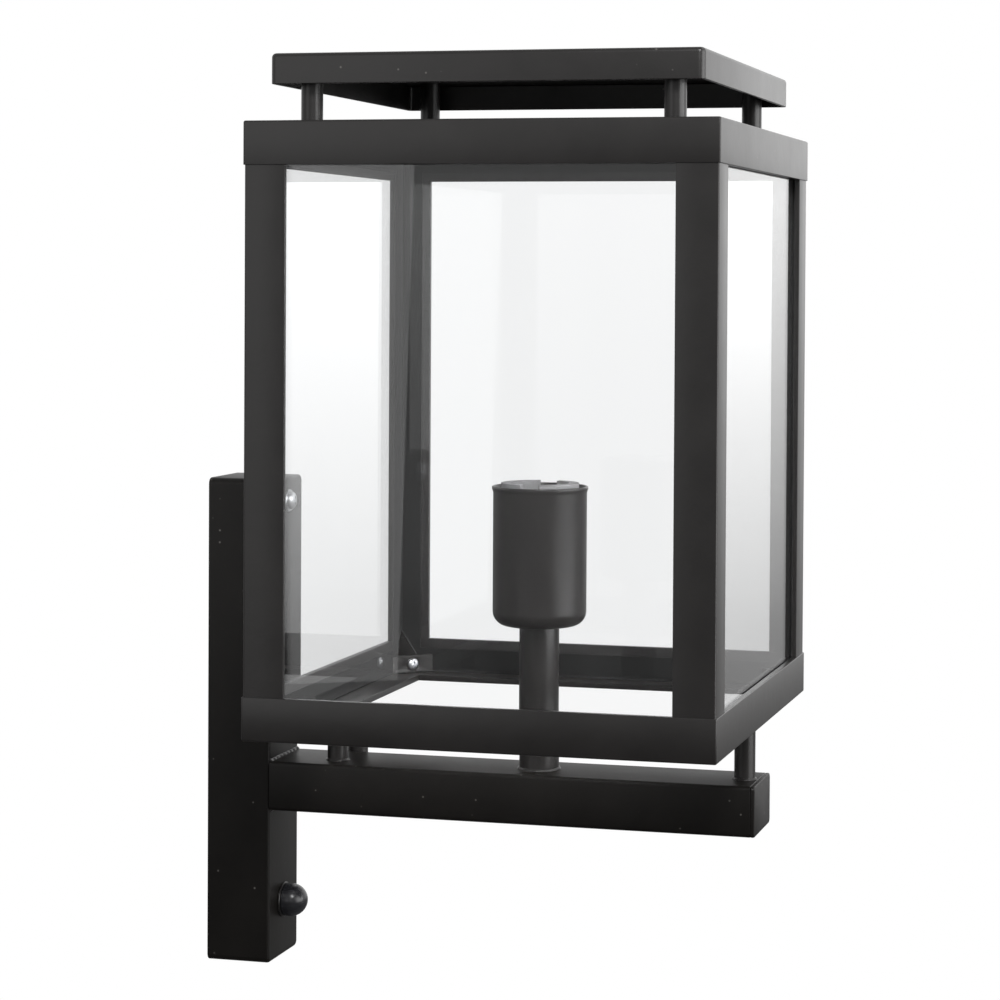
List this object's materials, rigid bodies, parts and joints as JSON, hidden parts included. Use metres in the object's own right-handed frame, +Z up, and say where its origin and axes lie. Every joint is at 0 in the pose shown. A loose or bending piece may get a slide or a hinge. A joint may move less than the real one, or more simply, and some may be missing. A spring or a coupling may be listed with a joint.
{
  "type": "outdoor wall lantern",
  "caption": "Square glazed lantern in a black angle-steel frame, with a flat raised roof, standing on pins on an arm that is welded to a slim wall post; open below, with a screw lampholder.",
  "frame": {"origin": "middle of the two wall fixing holes, on the back face of the wall plate, which is the wall's surface", "axes": "+X points straight out from the wall, +Z is up, and +Y is to the left for someone who faces the wall"},
  "size_m": [0.273, 0.22, 0.437],
  "materials": {
    "powder_coat": "black satin powder coat with a fine texture, on steel",
    "zinc_steel": "bright zinc plate",
    "brass": "plain brass, slightly dull",
    "clear_glass": "clear float glass",
    "black_rubber": "matt black",
    "socket_plastic": "dark grey moulded, slightly rough",
    "block_plastic": "off-white moulded"
  },
  "bodies": {
    "lantern": {"wall_plate": "zinc_steel", "wall_post": "powder_coat", "arm_tube": "powder_coat", "arm_end_cap": "powder_coat", "rest_pin_inner": "powder_coat", "rest_pin_rear": "powder_coat", "rest_pin_outer": "powder_coat", "bottom_rail_near": "powder_coat", "bottom_rail_far": "powder_coat", "bottom_rail_wall": "powder_coat", "bottom_rail_outer": "powder_coat", "upright_wall_near": "powder_coat", "upright_wall_far": "powder_coat", "upright_outer_near": "powder_coat", "upright_outer_far": "powder_coat", "top_rail_near": "powder_coat", "top_rail_far": "powder_coat", "top_rail_wall": "powder_coat", "top_rail_outer": "powder_coat", "top_plate": "powder_coat", "roof_pin_wall_near": "powder_coat", "roof_pin_wall_far": "powder_coat", "roof_pin_outer_near": "powder_coat", "roof_pin_outer_far": "powder_coat", "roof_cap": "powder_coat", "pane_near": "clear_glass", "pane_far": "clear_glass", "pane_wall": "clear_glass", "pane_outer": "clear_glass", "glazing_tape_near": "black_rubber", "glazing_tape_far": "black_rubber", "glazing_tape_wall": "black_rubber", "glazing_tape_outer": "black_rubber", "pane_clamp_wall_near": "powder_coat", "pane_clamp_wall_far": "powder_coat", "pane_clamp_outer_near": "powder_coat", "pane_clamp_outer_far": "powder_coat", "clamp_anchors": "powder_coat", "clamp_screws": "zinc_steel", "stem_tube": "powder_coat", "stem_bush": "brass", "socket_nipple": "zinc_steel", "nipple_nut": "zinc_steel", "lampholder_cup": "powder_coat", "socket_body": "socket_plastic", "socket_shell": "brass", "socket_contact": "brass", "socket_terminals": "brass", "cable_grommet": "black_rubber", "terminal_block": "block_plastic", "terminal_screws": "brass", "earth_screw": "brass", "screw_spacer": "zinc_steel", "cover_stud": "zinc_steel", "inner_lead": "black_rubber"},
    "cap_nut_washer": {"cap_nut_washer": "powder_coat"},
    "cap_nut": {"cap_nut": "powder_coat"},
    "cover_screw_washer": {"cover_screw_washer": "zinc_steel"},
    "cover_screw": {"cover_screw": "zinc_steel"}
  },
  "joints": [
    {"name": "cap_nut_travel", "type": "slide", "parent": "lantern", "child": "cap_nut_washer", "axis": [1, 0, 0], "range_m": [0, 0.0064]},
    {"name": "cap_nut_turn", "type": "hinge", "parent": "cap_nut_washer", "child": "cap_nut", "pos_m": [0.034, 0, -0.091], "axis": [1, 0, 0], "range_deg": [0, 2881]},
    {"name": "cover_screw_travel", "type": "slide", "parent": "lantern", "child": "cover_screw_washer", "axis": [1, 0, 0], "range_m": [0, 0.0064]},
    {"name": "cover_screw_turn", "type": "hinge", "parent": "cover_screw_washer", "child": "cover_screw", "pos_m": [0.034, 0, 0.1068], "axis": [1, 0, 0], "range_deg": [0, 2881]}
  ],
  "couplings": [
    {"joint": "cap_nut_turn", "follows": "cap_nut_travel", "rad_per_m": 7854},
    {"joint": "cover_screw_turn", "follows": "cover_screw_travel", "rad_per_m": 7854}
  ]
}
